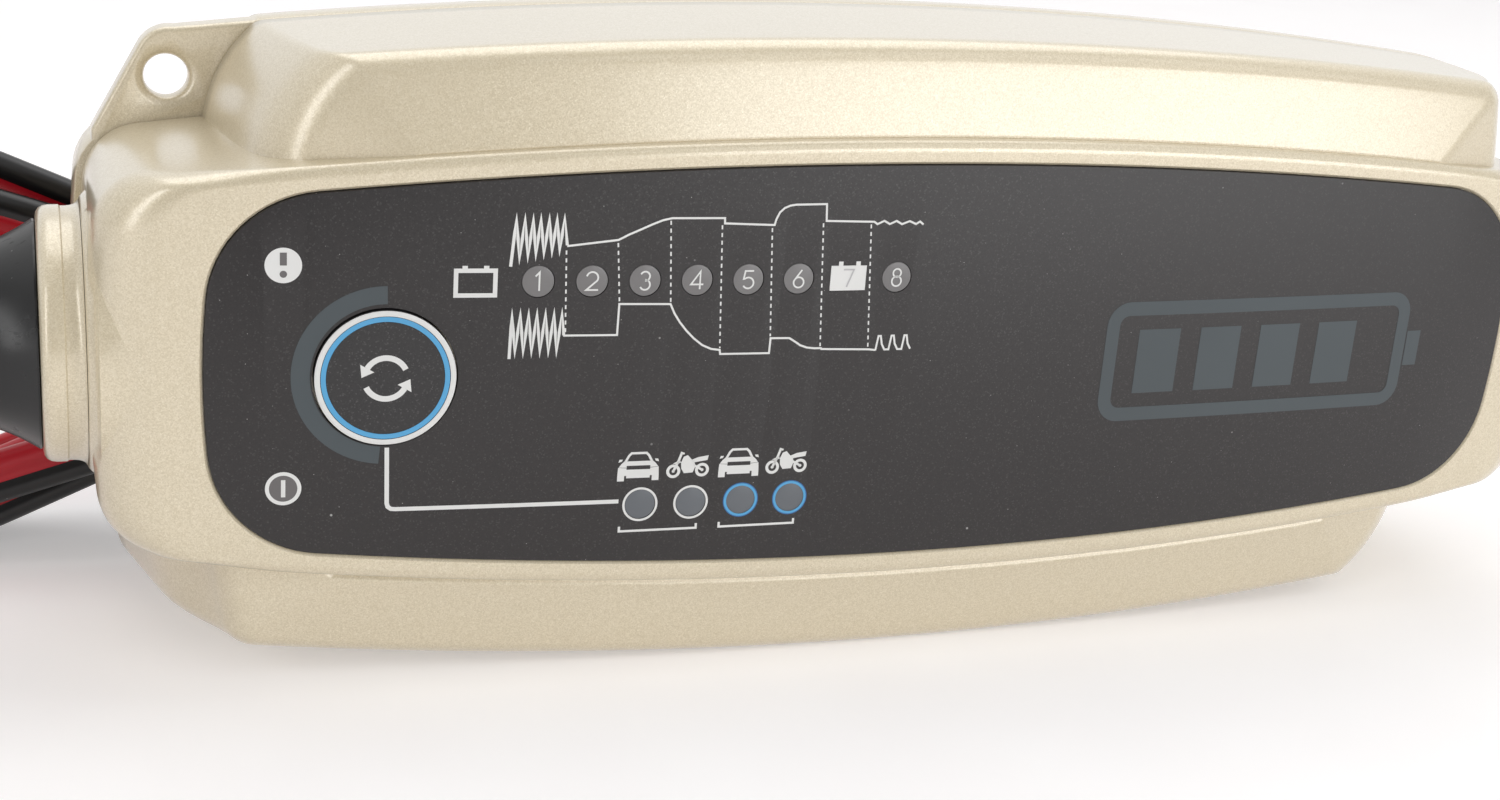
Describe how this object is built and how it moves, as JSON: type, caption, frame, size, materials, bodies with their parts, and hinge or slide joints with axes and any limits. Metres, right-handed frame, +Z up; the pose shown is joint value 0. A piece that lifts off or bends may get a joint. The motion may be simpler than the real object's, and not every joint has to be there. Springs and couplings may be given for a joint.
{
  "type": "battery charger",
  "caption": "Compact mains battery charger for a car or motorcycle, with a bowed panel, a mode button, mounting lugs and a moulded twin output lead tied in a hank.",
  "frame": {"origin": "middle of the footprint of the case, on the surface that it stands on with one long side down", "axes": "+X along the length of the case, towards the mains end; +Y from the panel to the back; +Z up"},
  "size_m": [0.2448, 0.0561, 0.0646],
  "materials": {
    "shell_finish": "satin pale-gold paint with a fine metallic fleck",
    "panel_film": "satin charcoal film with a fine sparkle",
    "button_cap": "smooth dark film over a raised cap",
    "white_plastic": "natural moulded",
    "black_plastic": "fine-textured moulding",
    "steel": "zinc plated",
    "window": "printed clear window",
    "light_resin": "moulded resin",
    "board_laminate": "solder-masked laminate",
    "contact_brass": "tinned brass",
    "ferrite": "sintered, dull",
    "winding_tape": "wound tape",
    "copper_winding": "enamelled copper",
    "capacitor_sleeve": "shrunk sleeve",
    "film_resin": "moulded box",
    "heat_sink_aluminium": "mill finish",
    "ceramic_white": "fired ceramic tube",
    "wire_red": "soft sleeving",
    "wire_black": "soft sleeving",
    "wire_brown": "soft sleeving",
    "wire_blue": "soft sleeving",
    "black_rubber": "satin moulded rubber",
    "grey_plastic": "moulded",
    "plate_film": "blank satin film",
    "lead_sleeving": "red and black twin sleeving"
  },
  "bodies": {
    "case": {"front_shell": "shell_finish", "back_shell": "shell_finish", "seam_gasket": "black_rubber", "panel_overlay": "panel_film", "switch_case": "steel", "number_windows": "window", "mode_windows": "window", "alert_windows": "window", "indicator_lights": "light_resin", "control_board": "board_laminate", "controller_chip": "black_plastic", "board_link": "contact_brass", "control_screws": "steel", "power_board": "board_laminate", "power_screws": "steel", "transformer_core": "ferrite", "transformer_winding": "winding_tape", "filter_choke": "copper_winding", "output_choke": "copper_winding", "bulk_capacitor": "capacitor_sleeve", "output_capacitors": "capacitor_sleeve", "film_capacitor": "film_resin", "heat_sink": "heat_sink_aluminium", "power_transistors": "black_plastic", "transistor_screws": "steel", "fuse": "ceramic_white", "varistor": "capacitor_sleeve", "wire_terminals": "contact_brass", "output_wire_red": "wire_red", "output_wire_black": "wire_black", "mains_wire_live": "wire_brown", "mains_wire_neutral": "wire_blue", "left_collar": "shell_finish", "right_collar": "shell_finish", "lead_boot": "black_rubber", "boot_clamp": "grey_plastic", "mains_gland": "black_rubber", "gland_clamp": "grey_plastic", "case_screws": "steel", "rating_plate": "plate_film", "output_lead": "lead_sleeving", "lead_hank": "lead_sleeving", "lead_tail": "lead_sleeving", "hank_tie": "black_plastic", "connector_body": "black_plastic", "connector_contacts": "contact_brass", "connector_sleeve": "black_rubber"},
    "mode_button": {"mode_button": "button_cap", "button_plunger": "white_plastic", "switch_stem": "black_plastic"}
  },
  "joints": [
    {"name": "mode_button_press", "type": "slide", "parent": "case", "child": "mode_button", "axis": [0.0557, 0.9985, 0], "range_m": [0, 0.0004], "stiffness_N_per_m": 1500}
  ]
}
